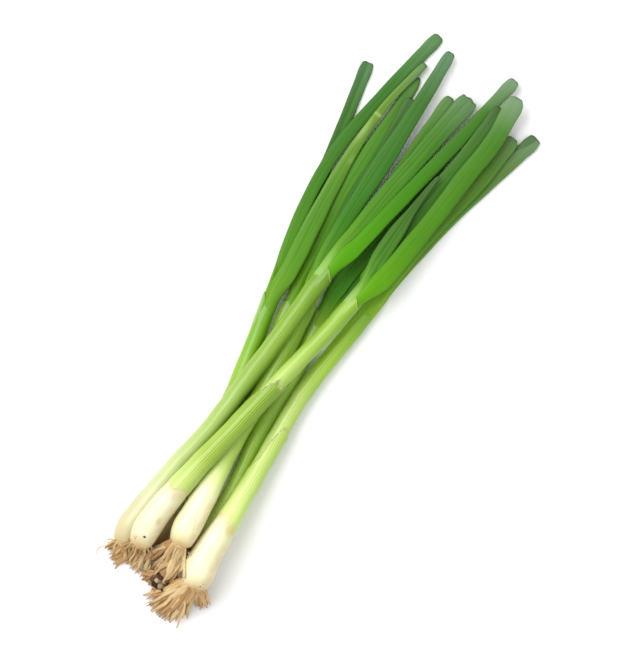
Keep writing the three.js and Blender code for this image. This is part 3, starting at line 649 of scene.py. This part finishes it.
def leaf_section(strand, details, slid, turn, to_end, seed):
    """Points of a blade's outside at distances and angles given for each point."""
    point, _, left, up = strand.frames(slid)
    sway = 1 + LEAF_SWAY * wobble(slid / MM, seed + 1, (47, 23))
    hidden = step_up((0.72 - slid / strand.length) / 0.2)
    half_width = strand.width(slid) * sway + details["wider"] * MM * hidden
    half_height = strand.height(slid) * LEAF_FLATNESS
    side = squared(np.cos(turn))
    lift = squared(np.sin(turn))
    channel = details["groove"] * np.exp(-(side / 0.4) ** 2)
    flutes = details["flute_depth"] * 0.5 * (1 - np.cos(side * math.pi * details["flutes"] + seed))
    lift = lift * (1 - np.maximum(0, lift) * (channel + flutes))
    shift = profile(details["shift"], slid / MM) * MM
    wide = half_width * side * (1 - END_NARROWING * to_end) + shift
    high = half_height * lift * (1 - END_FLATTENING * to_end)
    return point + left * wide[..., None] + up * high[..., None]


def leaf_marks(details, share, turn, to_end):
    """For each point: how near it is to the cut end, how far it is past a fold, and how worn."""
    across = np.cos(turn)
    upper = np.sin(turn) > -0.3
    folded = np.zeros_like(share)
    if details["fold"]:
        folded = step_up((across - profile(details["fold"], share)) / 0.12 + 0.5) * upper
    worn = np.zeros_like(share)
    for row in details["patches"]:
        worn = np.maximum(worn, patch(share, across, row) * upper)
    return np.stack([to_end, folded, worn], axis=-1)


def leaf_piece(leaf, stems):
    """A flattened blade, channelled and fluted, cut across at its end."""
    onion = leaf[0]
    details = LEAVES[leaf]
    name = f"onion_{leaf}".replace("_leaf", "_blade")
    strand = Strand(f"onion_{leaf}", CAD_LEAF_SIDES)
    material = leaf_look(f"green_{leaf}", details)
    count = int((strand.length + LEAF_SEAT_DEPTH) / LEAF_RING)
    along = np.linspace(-LEAF_SEAT_DEPTH, strand.length, count)
    distance, turn = np.meshgrid(along, section_turns(LEAF_SIDES), indexing="ij")
    across = np.cos(turn)
    to_end = step_up((distance - strand.length + LEAF_END_REACH) / LEAF_END_REACH)
    seed = sum(ord(letter) for letter in name)
    corner = details["corner"] * np.abs(across) ** 4
    waves = details["waves"] * (1 - np.cos(across * 7 + seed)) / 2
    cut = END_RAGGEDNESS * (1 + wobble(across + 0.2 * np.sin(turn), seed, (0.7, 0.29)))
    slid = distance - to_end * (corner + waves + cut) * MM
    rings = leaf_section(strand, details, slid, turn, to_end, seed)
    rings = into_mouth(rings, turn, details["socket"], stems[onion], STEMS[onion])
    middle = rings[-1].mean(axis=0)
    hollow = [middle + (rings[-1] - middle) * size - unit(rings[-1] - rings[-2]) * depth * MM
              for size, depth in CUT_END_RINGS]
    rings = np.concatenate([rings, hollow])
    rings[..., 2] = np.maximum(rings[..., 2], TABLE_GAP)
    added = len(hollow)
    distance = np.concatenate([slid, np.repeat(slid[-1:], added, axis=0)])
    turn = np.concatenate([turn, turn[:added]])
    to_end = np.concatenate([to_end, to_end[-1:].repeat(added, axis=0)])
    share = np.clip(distance / strand.length, 0, 1)
    marks = leaf_marks(details, share, turn, to_end)
    piece = strand_piece(name, rings, turn, distance, share, marks, material)
    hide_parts(f"onion_{leaf}")


class Look:
    """A material with a Principled shader, built node by node."""

    def __init__(self, name, roughness, specular=0.25, subsurface=0):
        self.material = bpy.data.materials.new(name)
        self.material.use_nodes = True
        self.tree = self.material.node_tree
        self.shader = self.tree.nodes["Principled BSDF"]
        for key, value in (("Roughness", roughness), ("Specular IOR Level", specular),
                           ("Subsurface Weight", subsurface), ("Subsurface Radius", SCATTER_RADII),
                           ("Subsurface Scale", SCATTER_DEPTH)):
            self.shader.inputs[key].default_value = value

    def set(self, socket, value):
        if hasattr(value, "is_output"):
            self.tree.links.new(value, socket)
        else:
            socket.default_value = value

    def node(self, kind, *values, **settings):
        """A new node with its settings, and with its first inputs given or linked."""
        node = self.tree.nodes.new("ShaderNode" + kind)
        for key, value in settings.items():
            setattr(node, key, value)
        for socket, value in zip(node.inputs, values):
            self.set(socket, value)
        return node

    def channels(self, name):
        """The three values of a mesh attribute."""
        attribute = self.node("Attribute", attribute_name=name)
        return list(self.node("SeparateXYZ", attribute.outputs["Vector"]).outputs)

    def vector(self, x, y, z=0):
        return self.node("CombineXYZ", x, y, z).outputs[0]

    def math(self, operation, *values, clamp=False):
        return self.node("Math", *values, operation=operation, use_clamp=clamp).outputs[0]

    def times(self, first, second):
        return self.math("MULTIPLY", first, second)

    def share(self, first, second):
        """The product of two shares, held between 0 and 1."""
        return self.math("MULTIPLY", first, second, clamp=True)

    def plus(self, first, second):
        return self.math("ADD", first, second)

    def noise(self, vector, detail=3, scale=1):
        node = self.node("TexNoise")
        for key, value in (("Vector", vector), ("Scale", scale), ("Detail", detail),
                           ("Roughness", NOISE_ROUGHNESS)):
            self.set(node.inputs[key], value)
        return node.outputs["Fac"]

    def cloud(self, place, around_scale, along_scale, detail=3, third=0):
        """Noise with scales of its own around a strand and along it."""
        around, along = place
        stretched = self.vector(self.times(around, around_scale), self.times(along, along_scale), third)
        return self.noise(stretched, detail)

    def ranged(self, value, low, high, new_low=0, new_high=1):
        return self.node("MapRange", value, low, high, new_low, new_high, clamp=True).outputs[0]

    def ramp(self, factor, stops):
        node = self.node("ValToRGB", factor)
        elements = node.color_ramp.elements
        while len(elements) < len(stops):
            elements.new(0.5)
        for element, (position, *shade) in zip(elements, stops):
            element.position = position
            element.color = colour(*shade)
        return node.outputs["Color"]

    def mix(self, factor, first, second, kind="MIX"):
        node = self.node("Mix", data_type="RGBA", blend_type=kind)
        inputs = [socket for socket in node.inputs if socket.enabled]
        for socket, value in zip(inputs, (factor, first, second)):
            self.set(socket, value)
        return next(socket for socket in node.outputs if socket.enabled)

    def multiplied(self, base, tone):
        return self.mix(1, base, tone, "MULTIPLY")

    def shaded(self, factor, base, *shade):
        """The base, multiplied by a colour where the factor is 1."""
        return self.mix(factor, base, self.multiplied(base, tint(*shade)))

    def finish(self, base, height=None, bump=0.3, distance=0.2 * MM):
        self.set(self.shader.inputs["Base Color"], base)
        if height is not None:
            node = self.node("Bump")
            for key, value in (("Strength", bump), ("Distance", distance), ("Height", height)):
                self.set(node.inputs[key], value)
            self.set(self.shader.inputs["Normal"], node.outputs[0])
        return self.material


def fine_lines(look, place, spacing, regular):
    """A value of 0 to 1 that runs in uneven parallel lines along a strand."""
    sway = look.cloud(place, 0.2, 0.01)
    phase = look.plus(look.times(place[0], 2 * math.pi / spacing), look.times(sway, 7))
    lines = look.plus(look.times(look.math("SINE", phase), 0.5), 0.5)
    return look.plus(look.times(lines, regular), look.times(look.cloud(place, 0.8, 0.015), 1 - regular))


def spot(look, place, speck):
    """1 inside a small round speck on a stem, 0 outside it."""
    distance, across, radius = speck
    aside = look.math("SUBTRACT", place[0], (math.acos(across) + math.pi / 2) * AROUND_RADIUS)
    ahead = look.math("SUBTRACT", place[1], distance)
    square = look.plus(look.times(aside, aside), look.times(ahead, ahead))
    return look.ranged(look.math("SQRT", square), 0.7 * radius, 1.1 * radius, 1, 0)


def stem_look(name, details, length):
    """Cream at the bulb, streaked green above, tan where the skin is torn, pale where it is thin, with
    painted shade in tan and darker green.
    """
    look = Look(name, 0.28, specular=0.4, subsurface=0.1)
    around, along, share = look.channels("strand")
    tan, thin, painted_shade = look.channels("marks")
    place = (around, along)
    stops = [(distance / length, *shade) for distance, *shade in details["stops"]]
    base = look.multiplied(look.ramp(share, stops), (*[details["light"]] * 3, 1))
    leafy = look.ranged(along, length - 60, length - 5)
    base = look.mix(leafy, base, look.multiplied(base, LEAF_START_TONE))
    lines = fine_lines(look, place, 1.3, 0.34)
    veins = look.ranged(along, length - 30, length, details["veins"], 0.3 * details["veins"])
    streaked = look.mix(look.ranged(lines, 0.36, 0.64), look.multiplied(base, tint(206, 224, 160)),
                        look.mix(0.3, base, colour(238, 250, 158)))
    base = look.mix(look.times(look.ranged(along, 34, 62), veins), base, streaked)
    base = look.shaded(look.ranged(look.cloud(place, 0.14, 0.05, 4), 0.3, 0.7, 0.4, 0), base, 236, 240, 214)
    # Painted shade: darker green on the right side and just past torn edges.
    base = look.shaded(look.share(painted_shade, 0.6), base, 190, 214, 128)
    skin = look.cloud(place, 0.5, 0.22, 5)
    # The tan mark is the skin's own tan, with painted shade on the bulb's sides and under torn lips.
    base = look.mix(look.share(tan, look.ranged(skin, 0.3, 0.65, 0.62, 1)), base, colour(*TAN))
    base = look.mix(look.share(thin, look.ranged(skin, 0.3, 0.6, 0.6, 1)), base, colour(176, 204, 138))
    for speck in details["specks"]:
        base = look.mix(look.times(spot(look, place, speck), 0.95), base, tint(*SPECK))
    return look.finish(base, lines, bump=0.14)


def leaf_look(name, details):
    """Green from the sheath to the cut end, with fine veins, a waxy bloom and small pale flecks."""
    look = Look(name, 0.4, specular=0.1)
    around, along, share = look.channels("strand")
    end, folded, worn = look.channels("marks")
    place = (around, along)
    tone = look.mix(look.ranged(share, 0, 0.35), LEAF_START_TONE, LEAF_TONE)
    tone = look.mix(look.ranged(share, 0.82, 0.95), tone, LEAF_END_TONE)
    base = look.multiplied(look.ramp(share, details["stops"]), tone)
    base = look.shaded(look.ranged(look.cloud(place, 0.12, 0.02), 0.32, 0.68, 0.3, 0), base, 214, 228, 206)
    lines = fine_lines(look, place, 1.5, 0.14)
    streaked = look.mix(look.ranged(lines, 0.32, 0.68), look.multiplied(base, tint(204, 220, 196)),
                        look.mix(0.16, base, colour(200, 228, 140)))
    base = look.mix(details["veins"], base, streaked)
    bloom = look.ranged(look.cloud(place, 0.3, 0.06, 4), 0.3, 0.7, 0.4, 1)
    wax = look.times(look.ranged(share, 0.8, 1), bloom)
    base = look.mix(look.share(wax, 0.3 * details["wax"]), base, colour(156, 180, 156))
    fleck = look.cloud(place, 0.9, 0.3, 2)
    base = look.mix(look.ranged(fleck, 0.74, 0.8, 0, 0.4), base, colour(190, 214, 150))
    if details["fold_strength"] > 0:
        beyond = look.multiplied(base, tint(150, 176, 150))
    else:
        beyond = look.mix(0.6, base, colour(150, 190, 96))
    base = look.mix(look.share(folded, abs(details["fold_strength"])), base, beyond)
    base = look.mix(look.share(worn, look.ranged(fleck, 0.3, 0.55, 0.5, 1)), base, colour(172, 196, 116))
    base = look.mix(look.share(look.math("POWER", end, 12), 0.3), base, colour(80, 106, 66))
    return look.finish(base, lines, bump=0.06)


def root_look(name):
    """Dry tan fibre, darker towards the tips and from root to root, with dark grains of soil."""
    look = Look(name, 0.75, specular=0.1)
    around, along, share = look.channels("strand")
    tone, soil, _ = look.channels("marks")
    fibre = look.cloud((around, along), 1.5, 0.12, 4, tone)
    base = look.shaded(look.ranged(fibre, 0.35, 0.7, 0, 0.45), look.ramp(tone, ROOT_SHADES), 190, 170, 140)
    base = look.mix(look.ranged(share, 0.6, 1, 0, 0.3), base, colour(*BARK))
    base = look.mix(soil, base, look.ramp(tone, SOIL_SHADES))
    return look.finish(base, fibre, bump=0.5, distance=0.3 * MM)


def lip_look(name, light, dark):
    """Thin dry edge of a sheath."""
    look = Look(name, 0.6)
    _, along, _ = look.channels("strand")
    patch = look.noise(look.vector(along, 0), scale=0.7)
    return look.finish(look.mix(look.ranged(patch, 0.35, 0.65), colour(*light), colour(*dark)), patch)


def support(stems, name, x, y, base_level):
    """Height of the top of the lower stems under plan points."""
    level = np.zeros_like(x)
    for other, strand in stems.items():
        if other == name or strand.middles[0][2] > base_level - 2 * MM:
            continue
        at = np.linspace(0, SUPPORT_LENGTH, 80)
        middle = strand.point(at)
        away = np.hypot(x[:, None] - middle[None, :, 0], y[:, None] - middle[None, :, 1])
        nearest = away.argmin(axis=1)
        half = strand.width(at)[nearest] + SUPPORT_GAP
        gap = away.min(axis=1)
        top = middle[nearest, 2] + np.sqrt(np.maximum(half ** 2 - gap ** 2, 0))
        level = np.maximum(level, np.where(gap < half, top, 0))
    return level


def root_rings(centres, half_width, half_height, twist):
    """Rings of a flattened strand round its centre points."""
    tangents = unit(np.gradient(centres, axis=0))
    left = unit(np.cross((0, 0, 1), tangents) + np.array((1e-6, 0, 0)))
    up = np.cross(tangents, left)
    turned = left * np.cos(twist)[:, None] + up * np.sin(twist)[:, None]
    other = up * np.cos(twist)[:, None] - left * np.sin(twist)[:, None]
    turns = section_turns(ROOT_SIDES)
    return (centres[:, None] + turned[:, None] * (half_width[:, None] * np.cos(turns))[..., None]
            + other[:, None] * (half_height[:, None] * np.sin(turns))[..., None])


class Tuft:
    """The closed skins of one tuft, gathered into one mesh."""

    def __init__(self):
        self.points = []
        self.faces = []
        self.strands = []
        self.marks = []
        self.total = 0

    def add(self, rings, tone, length, soil=0):
        skin, skin_faces = closed_skin(rings)
        self.points.append(skin)
        self.faces.extend(tuple(self.total + k for k in face) for face in skin_faces)
        self.total += len(skin)
        share = np.linspace(0, 1, len(rings))[:, None] * np.ones(rings.shape[1])
        around = np.arange(rings.shape[1])[None, :] * np.ones((len(rings), 1)) * 0.5
        self.strands.append(with_ends(np.stack([around, share * length / MM, share], axis=-1)))
        same = np.ones(rings.shape[:2])
        self.marks.append(with_ends(np.stack([same * tone, same * soil, same * 0], axis=-1)))

    def add_plate(self, base, radius, tone):
        start, tangent, left, up = base
        turns = section_turns(ROOT_SIDES * 3)
        plate = []
        for depth, wide in PLATE_RINGS:
            bumpy = 1 + 0.06 * np.sin(turns * 7 + depth)
            plate.append(start - tangent * depth * MM + (left * np.cos(turns)[:, None]
                         - up * np.sin(turns)[:, None]) * (radius * wide * bumpy)[:, None])
        self.add(np.array(plate), tone, PLATE_LENGTH)

    def add_lump(self, centre, radius, draw):
        turns = section_turns(LUMP_SIDES)
        rows = []
        for level in np.linspace(-0.9, 0.9, LUMP_LEVELS):
            bumpy = 1 + 0.25 * wobble(turns / 6.3, draw.integers(99), (1, 0.5, 0.25))
            wide = math.sqrt(1 - level * level) * bumpy
            rows.append(centre + radius * np.stack([wide * np.cos(turns), wide * np.sin(turns),
                                                    np.full_like(turns, 0.8 * level)], axis=-1))
        self.add(np.array(rows), draw.random(), radius, soil=1)


def one_root(base, radius, fan, half, draw):
    """Where a root leaves the rounded end of the bulb, its centre points in plan and its length."""
    start, tangent, left, up = base
    _, turn, spread, shortest, longest, least_bend, most_bend, *_ = fan
    plan = unit(-tangent * np.array((1, 1, 0)))
    side = draw.uniform(-1, 1)
    length = draw.uniform(shortest, longest) * MM
    leaving = math.radians(turn + spread * side)
    aside = np.clip(1.15 * math.sin(leaving) + draw.uniform(-0.25, 0.25), -1, 1)
    raised = math.sqrt(1 - aside * aside) * draw.uniform(-0.7, 1)
    depth = 1 - math.sqrt(max(0, 1 - aside * aside - raised * raised))
    origin = start + tangent * (0.8 * MM + 0.55 * radius * depth) + (left * aside + up * raised) * radius
    share = np.linspace(0, 1, ROOT_RINGS)
    bend = math.radians(draw.uniform(least_bend, most_bend))
    curl = max(0.2, 0.75 - 0.45 * half / MM)
    way = leaving + bend * share ** 1.5 + curl * wobble(share, draw.integers(1000), (1.1, 0.5))
    heading = np.stack([plan[0] * np.cos(way) + plan[1] * np.sin(way),
                        plan[1] * np.cos(way) - plan[0] * np.sin(way)], axis=-1)
    steps = heading * length / (ROOT_RINGS - 1)
    return origin, origin[:2] + np.concatenate([[[0, 0]], np.cumsum(steps[:-1], axis=0)]), length


def roots_piece(onion, stems, material):
    """A tuft of flat and thin roots that fan out of the basal plate and fall to what is below."""
    details = ROOTS[onion]
    strand = stems[onion]
    draw = np.random.default_rng(ROOT_SEED + ord(onion))
    base = [values[0] for values in strand.frames(np.array([0.0]))]
    bulb_radius = strand.width(np.array([BULB_RADIUS_AT]))[0]
    darkest, lightest = details["tone"]
    tuft = Tuft()
    tuft.add_plate(base, bulb_radius * PLATE_SHARE, (darkest + lightest) / 2)
    share = np.linspace(0, 1, ROOT_RINGS)
    for fan in details["fans"]:
        count, *_, thinnest, thickest = fan
        for _ in range(count):
            half = draw.uniform(thinnest, thickest) * MM
            origin, xy, length = one_root(base, bulb_radius * ROOT_ZONE, fan, half, draw)
            end_level = (LOWEST_END_MM + END_RANGE_MM * draw.random() * draw.random()) * MM
            z = origin[2] + (end_level - origin[2]) * np.minimum(1, 1.15 * share ** 1.3)
            floor = support(stems, onion, xy[:, 0], xy[:, 1], base[0][2]) + draw.uniform(0, 1.2) * MM
            z = np.where(share > 0.12, np.maximum(z, floor), z)
            z = np.convolve(np.pad(z, 2, mode="edge"), np.ones(5) / 5, mode="valid")
            taper = (0.6 + 0.4 * step_up(share * 4)) * (1 - 0.8 * step_up((share - 0.7) / 0.34))
            half_width = half * taper * (1 + 0.14 * wobble(share, draw.integers(1000), (0.5, 0.2)))
            flat = 0.9 if half < THIN_ROOT else 0.42
            half_height = np.maximum(half_width * flat, LEAST_HALF_HEIGHT)
            centres = np.concatenate([xy, z[:, None]], axis=1)
            centres[:, 2] = np.maximum(centres[:, 2], half_height + TABLE_GAP)
            twist = draw.uniform(-0.9, 0.9) * share
            rings = root_rings(centres, half_width, half_height, twist)
            rings[..., 2] = np.maximum(rings[..., 2], TABLE_GAP)
            tuft.add(rings, draw.uniform(darkest, lightest), length)
    for _ in range(details.get("lumps", 0)):
        aside = draw.uniform(-1, 0.7) * LUMP_ZONE
        ahead = draw.uniform(-5, 2) * MM
        size = draw.uniform(0.8, 2.1) * MM
        centre = base[0] - base[1] * ahead + base[2] * aside
        centre[2] += math.sqrt(max(0, LUMP_RISE ** 2 - aside ** 2)) * draw.uniform(0.4, 1.1)
        tuft.add_lump(centre, size, draw)
    skin = (np.concatenate(tuft.points), tuft.faces)
    piece = new_piece(f"onion_{onion}_root_tuft", skin, np.concatenate(tuft.strands),
                      np.concatenate(tuft.marks), material)
    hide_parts(f"onion_{onion}_roots")


def edge_bead(stems, onion, part, across, at, size, material):
    """A thin curled lip along a line on the upper side of a stem, given by places across and distances."""
    radius, lift = size
    skin = stem_surface(stems[onion], STEMS[onion], at, np.arccos(np.clip(across, -1, 1)))
    centres = skin + unit(skin - stems[onion].point(at)) * lift
    centres = np.stack([np.convolve(np.pad(row, 1, mode="edge"), (0.25, 0.5, 0.25), mode="valid")
                        for row in centres.T], axis=-1)
    share = np.linspace(0, 1, len(across))
    thick = radius * (0.3 + 0.7 * np.sin(np.pi * np.clip(share, 0.02, 0.98)) ** 0.5)
    thick = thick * (1 + 0.25 * wobble(share, 21, (0.23, 0.11)))
    rings = root_rings(centres, thick, 0.6 * thick, np.zeros(len(share)))
    place = np.broadcast_to(share[:, None], rings.shape[:2])
    coordinates = np.stack([place * 0, place * 20, place], axis=-1)
    new_piece(f"onion_{onion}_{part}", closed_skin(rings), with_ends(coordinates),
              with_ends(coordinates * 0), material)


def add_edges(stems):
    """The pale rims at both forks, the curled lips of torn sheaths and the thin lines of peeling skin."""
    pale = lip_look("pale_rim", (206, 226, 140), (176, 206, 104))
    dry = lip_look("dry_lip", (238, 240, 202), (172, 172, 112))
    tan = lip_look("tan_line", (232, 216, 164), (212, 192, 136))
    for onion in ("a", "b"):
        across = np.linspace(-0.97, -0.05, 50)
        at = stems[onion].length + rim_reach(STEMS[onion]["rim"], across)
        edge_bead(stems, onion, "rim", across, at, (0.24 * MM, 0), pale)
    for onion, part, start, end, radius in (
            ("b", "left", 0.96, 0.04, 0.7), ("b", "right", 0, -0.9, 0.45),
            ("d", "left", 0.55, -0.2, 0.42), ("d", "right", -0.2, -0.9, 0.3)):
        across = np.linspace(start, end, 70)
        at = ragged_edge(STEMS[onion]["tear"], across)
        edge_bead(stems, onion, f"torn_edge_{part}", across, at, (radius * MM, 0.2 * MM), dry)
    for part, pairs in (("hook_line", [(-0.25, 27), (-0.13, 31), (-0.24, 32.6)]),
                        ("ridge_line", [(-0.5, 10.5), (-0.37, 13), (-0.24, 17), (-0.14, 21)])):
        steps = np.linspace(0, len(pairs) - 1, 60)
        across, at = (np.interp(steps, range(len(pairs)), values) for values in zip(*pairs))
        edge_bead(stems, "c", part, across, at * MM, (0.13 * MM, 0), tan)


def studio():
    """Pale floor, soft light from the upper left of the view and from all round."""
    bpy.ops.mesh.primitive_plane_add(size=FLOOR_SIZE, location=(0, 0, 0))
    floor = bpy.context.object
    floor.name = "floor"
    look = Look("floor", 0.9)
    look.finish((FLOOR_SHADE, FLOOR_SHADE, FLOOR_SHADE, 1))
    floor.data.materials.append(look.material)
    world = bpy.data.worlds.new("studio")
    world.use_nodes = True
    background = world.node_tree.nodes["Background"]
    background.inputs["Color"].default_value = (1, 1, 1, 1)
    background.inputs["Strength"].default_value = WORLD_LIGHT
    bpy.context.scene.world = world
    lamp = bpy.data.lights.new("key", "AREA")
    lamp.shape = "SQUARE"
    lamp.size = KEY_SIZE
    lamp.energy = KEY_POWER
    key = bpy.data.objects.new("key", lamp)
    toward = KEY_DIRECTION.normalized()
    turned = toward.to_track_quat("Z", "Y").to_matrix().to_4x4()
    key.matrix_world = Matrix.Translation(toward * KEY_DISTANCE) @ turned
    bpy.context.scene.collection.objects.link(key)


def camera():
    """Straight above the bunch, turned so that it lies from lower left to upper right."""
    lens = bpy.data.cameras.new("camera")
    lens.sensor_width = SENSOR
    lens.lens = SENSOR * CAMERA_DISTANCE / VIEW_HEIGHT
    lens.clip_end = FAR_LIMIT
    view = bpy.data.objects.new("camera", lens)
    axes = Matrix((IMAGE_RIGHT, IMAGE_UP, Vector((0, 0, 1)))).transposed().to_4x4()
    view.matrix_world = Matrix.Translation(VIEW_CENTRE + Vector((0, 0, CAMERA_DISTANCE))) @ axes
    bpy.context.scene.collection.objects.link(view)
    bpy.context.scene.camera = view


def build():
    """Every stem, root tuft and leaf, and the thin edges on them."""
    stems = {onion: Strand(f"onion_{onion}_stem", CAD_STEM_SIDES) for onion in STEMS}
    root_material = root_look("root_fibre")
    for onion, strand in stems.items():
        material = stem_look(f"sheath_{onion}", STEMS[onion], strand.length / MM)
        stem_piece(f"onion_{onion}_skin", strand, STEMS[onion], material)
        roots_piece(onion, stems, root_material)
    for leaf in LEAVES:
        leaf_piece(leaf, stems)
    add_edges(stems)


build()
studio()
camera()
bpy.context.scene.view_settings.view_transform = "Standard"
